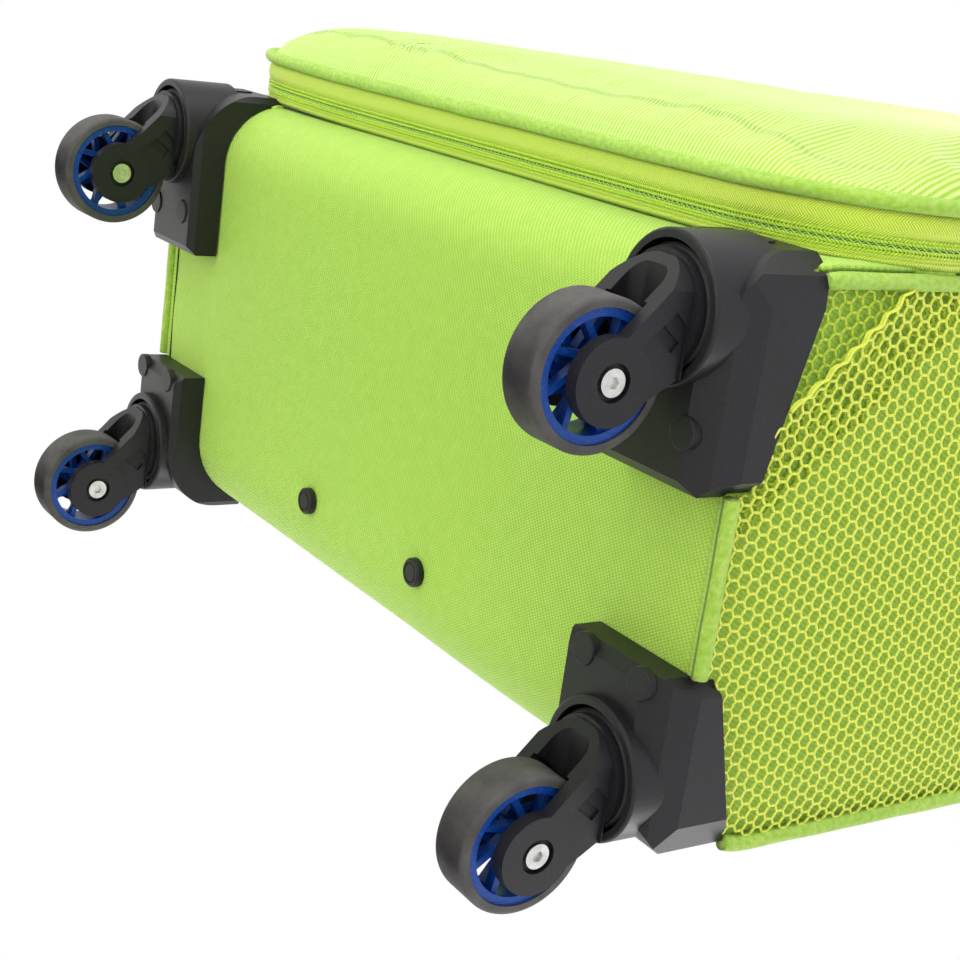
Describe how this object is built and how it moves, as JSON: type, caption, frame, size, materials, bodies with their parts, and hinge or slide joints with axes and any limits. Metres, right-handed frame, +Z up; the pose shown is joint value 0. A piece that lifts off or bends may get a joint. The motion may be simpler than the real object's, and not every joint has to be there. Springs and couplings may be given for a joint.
{
  "type": "softside upright suitcase",
  "caption": "Softside upright suitcase with hinged zipped lid, swivel casters, telescopic pull handle, carry handles and a side mesh pocket.",
  "frame": {"origin": "on the floor, under the middle of the whole case", "axes": "+Z up, -Y towards the lid (front), +X towards the mesh pocket side"},
  "size_m": [0.45, 0.2633, 0.689],
  "materials": {
    "black_plastic": "fine-grained moulded",
    "zinc_steel": "zinc plated",
    "blue_plastic": "satin moulded",
    "tyre": "matt polyurethane",
    "plug_plastic": "satin",
    "nylon": "natural",
    "body_fabric": "dobby polyester",
    "lid_fabric": "ribbed polyester",
    "piping": "covered piping",
    "zipper_tape": "herringbone tape",
    "mesh": "hexagonal net",
    "board": "textured",
    "lining": "plain weave",
    "webbing": "woven",
    "aluminium": "satin anodised",
    "button_plastic": "satin",
    "handle_padding": "padded",
    "zipper_metal": "gunmetal"
  },
  "bodies": {
    "case": {"plate_front_right": "black_plastic", "plate_front_left": "black_plastic", "plate_back_right": "black_plastic", "plate_back_left": "black_plastic", "caster_screw_covers": "plug_plastic", "caster_bearings": "nylon", "bottom_panel": "body_fabric", "top_panel": "body_fabric", "back_panel": "body_fabric", "left_side_panel": "body_fabric", "right_side_panel": "body_fabric", "front_rim_panel": "body_fabric", "side_piping": "piping", "main_zipper_body_half": "zipper_tape", "base_board": "board", "rim_hoop": "zinc_steel", "back_lining": "lining", "packing_straps": "webbing", "trolley_outer_tubes": "aluminium", "trolley_tube_feet": "plug_plastic", "trolley_housing": "black_plastic", "handle_anchors": "black_plastic", "mesh_pocket": "mesh"},
    "lid": {"main_zipper_lid_half": "zipper_tape", "lid_panel": "lid_fabric", "lid_piping": "piping", "front_pocket": "lid_fabric", "front_pocket_zipper": "zipper_tape"},
    "caster_front_right": {"fork_front_right": "black_plastic", "swivel_pin_front_right": "zinc_steel", "axle_front_right": "zinc_steel"},
    "wheel_front_right": {"rim_front_right": "blue_plastic", "tyre_front_right": "tyre"},
    "caster_front_left": {"fork_front_left": "black_plastic", "swivel_pin_front_left": "zinc_steel", "axle_front_left": "zinc_steel"},
    "wheel_front_left": {"rim_front_left": "blue_plastic", "tyre_front_left": "tyre"},
    "caster_back_right": {"fork_back_right": "black_plastic", "swivel_pin_back_right": "zinc_steel", "axle_back_right": "zinc_steel"},
    "wheel_back_right": {"rim_back_right": "blue_plastic", "tyre_back_right": "tyre"},
    "caster_back_left": {"fork_back_left": "black_plastic", "swivel_pin_back_left": "zinc_steel", "axle_back_left": "zinc_steel"},
    "wheel_back_left": {"rim_back_left": "blue_plastic", "tyre_back_left": "tyre"},
    "trolley_stage_1": {"trolley_mid_tubes": "aluminium"},
    "trolley_stage_2": {"trolley_inner_tubes": "aluminium", "trolley_grip": "black_plastic"},
    "trolley_button_body": {"trolley_button": "button_plastic"},
    "top_handle_body": {"top_handle": "handle_padding"},
    "side_handle_body": {"side_handle": "handle_padding"},
    "main_zip_slider_body_a": {"main_zip_slider_a": "zipper_metal"},
    "main_zip_pull_body_a": {"main_zip_pull_a": "zipper_metal"},
    "main_zip_slider_body_b": {"main_zip_slider_b": "zipper_metal"},
    "main_zip_pull_body_b": {"main_zip_pull_b": "zipper_metal"},
    "pocket_zip_slider_body": {"pocket_zip_slider": "zipper_metal"},
    "pocket_zip_pull_body": {"pocket_zip_pull": "zipper_metal"}
  },
  "joints": [
    {"name": "swivel_front_right", "type": "hinge", "parent": "case", "child": "caster_front_right", "pos_m": [0.194, -0.07, 0.06], "axis": [0, 0, 1], "continuous": true},
    {"name": "roll_front_right", "type": "hinge", "parent": "caster_front_right", "child": "wheel_front_right", "pos_m": [0.194, -0.05, 0.025], "axis": [1, 0, 0], "continuous": true},
    {"name": "swivel_front_left", "type": "hinge", "parent": "case", "child": "caster_front_left", "pos_m": [-0.194, -0.07, 0.06], "axis": [0, 0, 1], "continuous": true},
    {"name": "roll_front_left", "type": "hinge", "parent": "caster_front_left", "child": "wheel_front_left", "pos_m": [-0.194, -0.05, 0.025], "axis": [1, 0, 0], "continuous": true},
    {"name": "swivel_back_right", "type": "hinge", "parent": "case", "child": "caster_back_right", "pos_m": [0.194, 0.088, 0.06], "axis": [0, 0, 1], "continuous": true},
    {"name": "roll_back_right", "type": "hinge", "parent": "caster_back_right", "child": "wheel_back_right", "pos_m": [0.194, 0.108, 0.025], "axis": [1, 0, 0], "continuous": true},
    {"name": "swivel_back_left", "type": "hinge", "parent": "case", "child": "caster_back_left", "pos_m": [-0.194, 0.088, 0.06], "axis": [0, 0, 1], "continuous": true},
    {"name": "roll_back_left", "type": "hinge", "parent": "caster_back_left", "child": "wheel_back_left", "pos_m": [-0.194, 0.108, 0.025], "axis": [1, 0, 0], "continuous": true},
    {"name": "lid_hinge", "type": "hinge", "parent": "case", "child": "lid", "pos_m": [-0.229, -0.095, 0.3715], "axis": [0, 0, -1], "range_deg": [0, 180]},
    {"name": "trolley_stage_1_slide", "type": "slide", "parent": "case", "child": "trolley_stage_1", "axis": [0, 0, 1], "range_m": [0, 0.19]},
    {"name": "trolley_stage_2_slide", "type": "slide", "parent": "trolley_stage_1", "child": "trolley_stage_2", "axis": [0, 0, 1], "range_m": [0, 0.19]},
    {"name": "button_press", "type": "slide", "parent": "trolley_stage_2", "child": "trolley_button_body", "axis": [0, 0, -1], "range_m": [0, 0.004], "stiffness_N_per_m": 800, "springref_m": -0.004},
    {"name": "top_handle_lift", "type": "slide", "parent": "case", "child": "top_handle_body", "axis": [0, 0, 1], "range_m": [0, 0.015]},
    {"name": "side_handle_lift", "type": "slide", "parent": "case", "child": "side_handle_body", "axis": [-1, 0, 0], "range_m": [0, 0.01]},
    {"name": "main_zip_slide_a", "type": "slide", "parent": "case", "child": "main_zip_slider_body_a", "axis": [1, 0, 0], "range_m": [-0.19, 0.015]},
    {"name": "main_zip_pull_flip_a", "type": "hinge", "parent": "main_zip_slider_body_a", "child": "main_zip_pull_body_a", "pos_m": [0.064, -0.095, 0.6498], "axis": [0, 1, 0], "range_deg": [0, 175]},
    {"name": "main_zip_slide_b", "type": "slide", "parent": "case", "child": "main_zip_slider_body_b", "axis": [1, 0, 0], "range_m": [0, 0.015]},
    {"name": "main_zip_pull_flip_b", "type": "hinge", "parent": "main_zip_slider_body_b", "child": "main_zip_pull_body_b", "pos_m": [0.126, -0.095, 0.6498], "axis": [0, 1, 0], "range_deg": [0, 175]},
    {"name": "pocket_zip_slide", "type": "slide", "parent": "lid", "child": "pocket_zip_slider_body", "axis": [-1, 0, 0], "range_m": [0, 0.265]},
    {"name": "pocket_zip_pull_flip", "type": "hinge", "parent": "pocket_zip_slider_body", "child": "pocket_zip_pull_body", "pos_m": [0.134, -0.1275, 0.432], "axis": [-1, 0, 0], "range_deg": [0, 170]}
  ]
}
